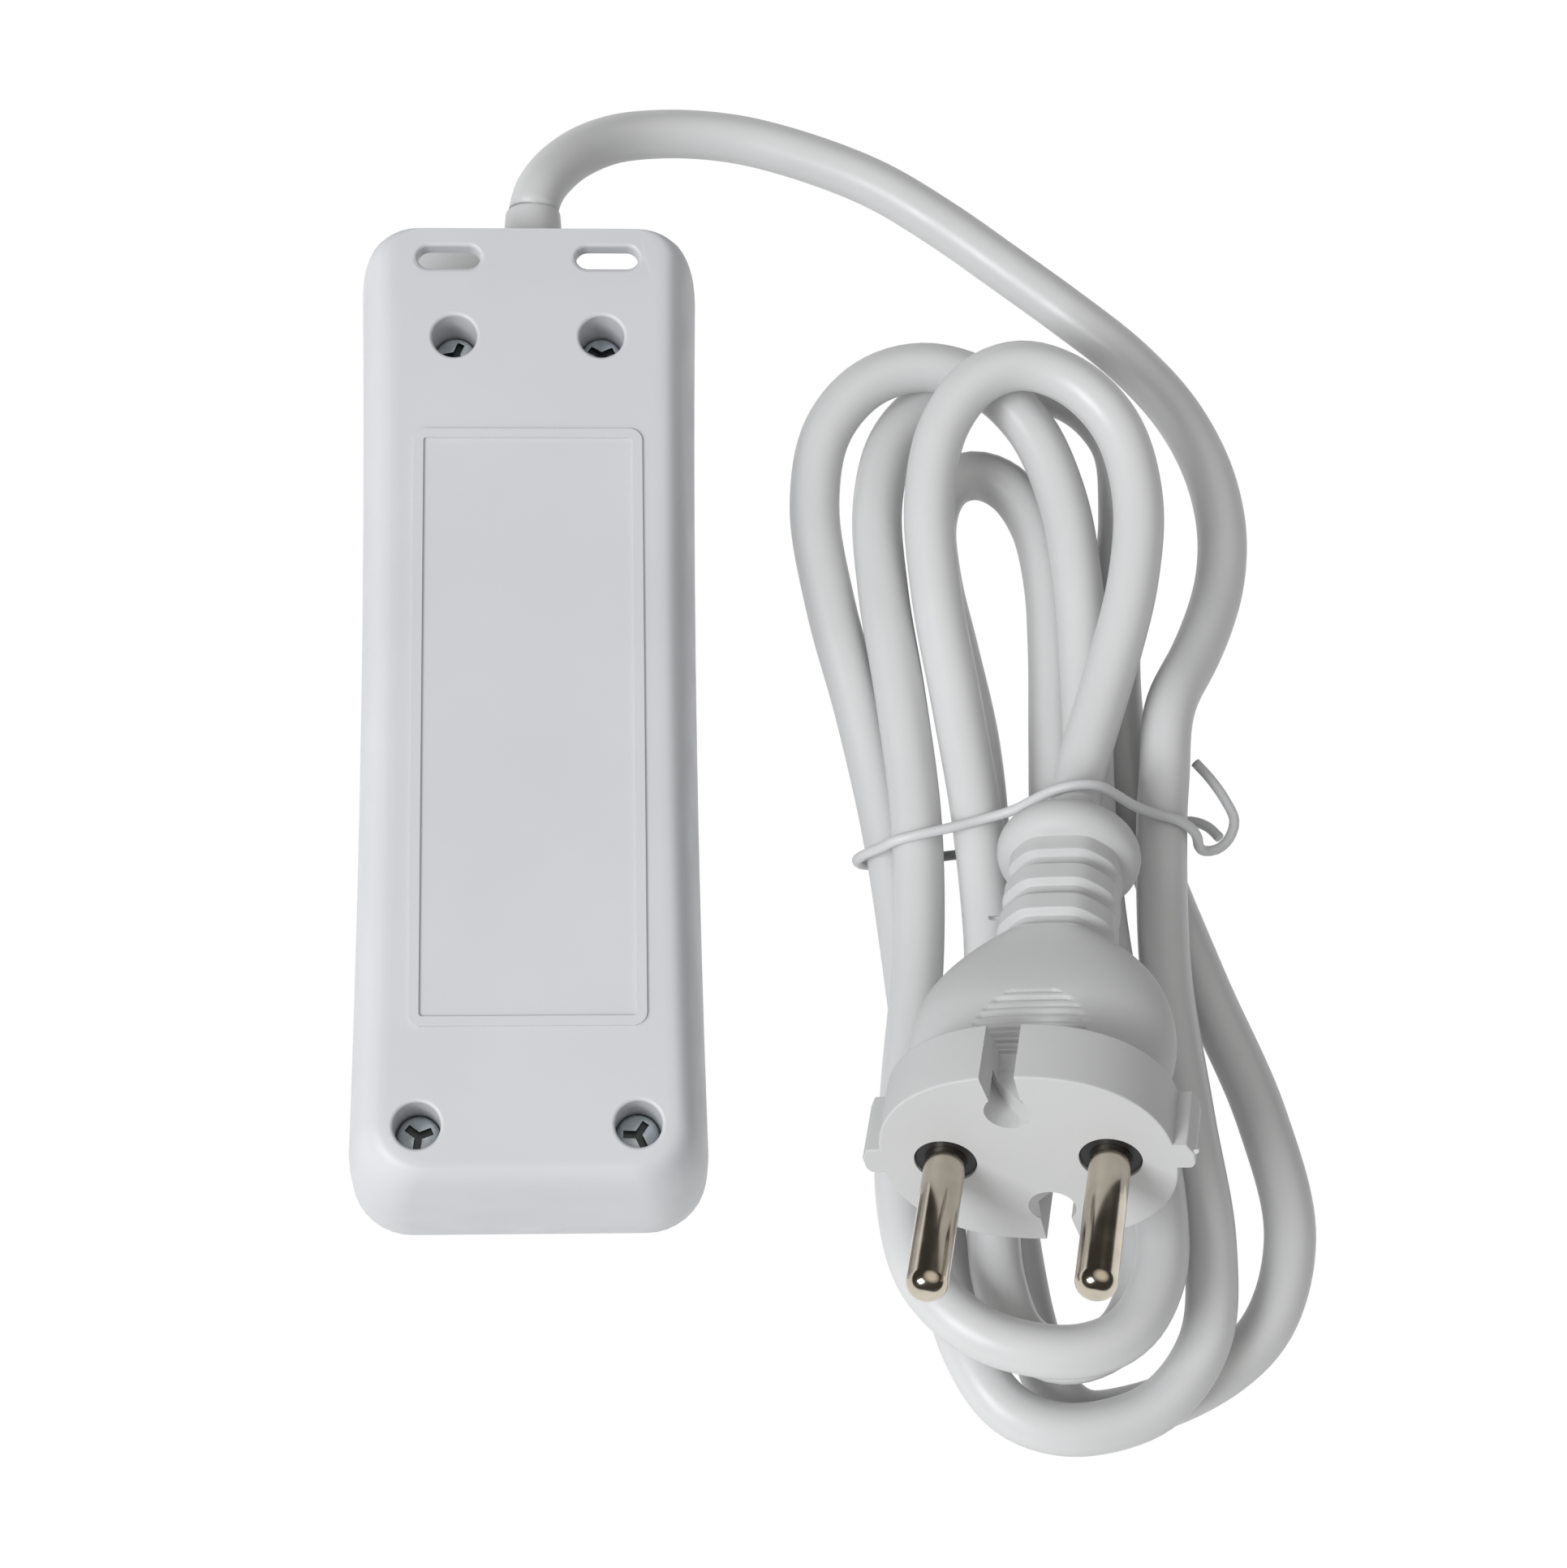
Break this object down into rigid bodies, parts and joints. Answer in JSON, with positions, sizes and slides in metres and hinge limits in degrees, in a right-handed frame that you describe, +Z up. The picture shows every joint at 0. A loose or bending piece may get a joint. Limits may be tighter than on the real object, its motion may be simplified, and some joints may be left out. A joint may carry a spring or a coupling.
{
  "type": "extension cord",
  "caption": "Outlet box with recessed round outlets, a flat back with hanging slots, and a light cord folded in a tied hank that ends in a moulded two-pin plug.",
  "frame": {"origin": "under the middle of the outlet box, on the surface that its outlet face lies on", "axes": "+Z up, out of the box's back; +Y along the box, towards the end where the cord leaves; +X across the box, towards the hank"},
  "size_m": [0.1177, 0.1792, 0.0567],
  "materials": {
    "shell": "satin off-white moulded plastic, fine texture",
    "sleeve": "soft off-white moulding",
    "cord": "matt light grey PVC jacket",
    "plug": "matt off-white moulding",
    "bridge": "black moulding",
    "nickel": "nickel plated, lightly brushed",
    "zinc": "zinc plated",
    "brass": "stamped",
    "core_brown": "brown insulation",
    "core_blue": "blue insulation",
    "tie": "white covered wire"
  },
  "bodies": {
    "root": {"front_housing": "shell", "back_cover": "shell", "cover_screws": "zinc", "bus_bar_live": "brass", "bus_bar_neutral": "brass", "cord_clamp": "shell", "clamp_screws": "zinc", "cord_sleeve": "sleeve", "cord_tail": "cord", "core_live": "core_brown", "core_neutral": "core_blue", "core_lugs": "brass", "cord_free": "cord", "cord_hank": "cord", "twist_tie": "tie", "plug_body": "plug", "plug_bridge": "bridge", "plug_pin_left": "nickel", "plug_pin_right": "nickel", "plug_crimps": "brass", "plug_cores": "core_brown", "plug_cord_end": "cord"}
  },
  "joints": []
}
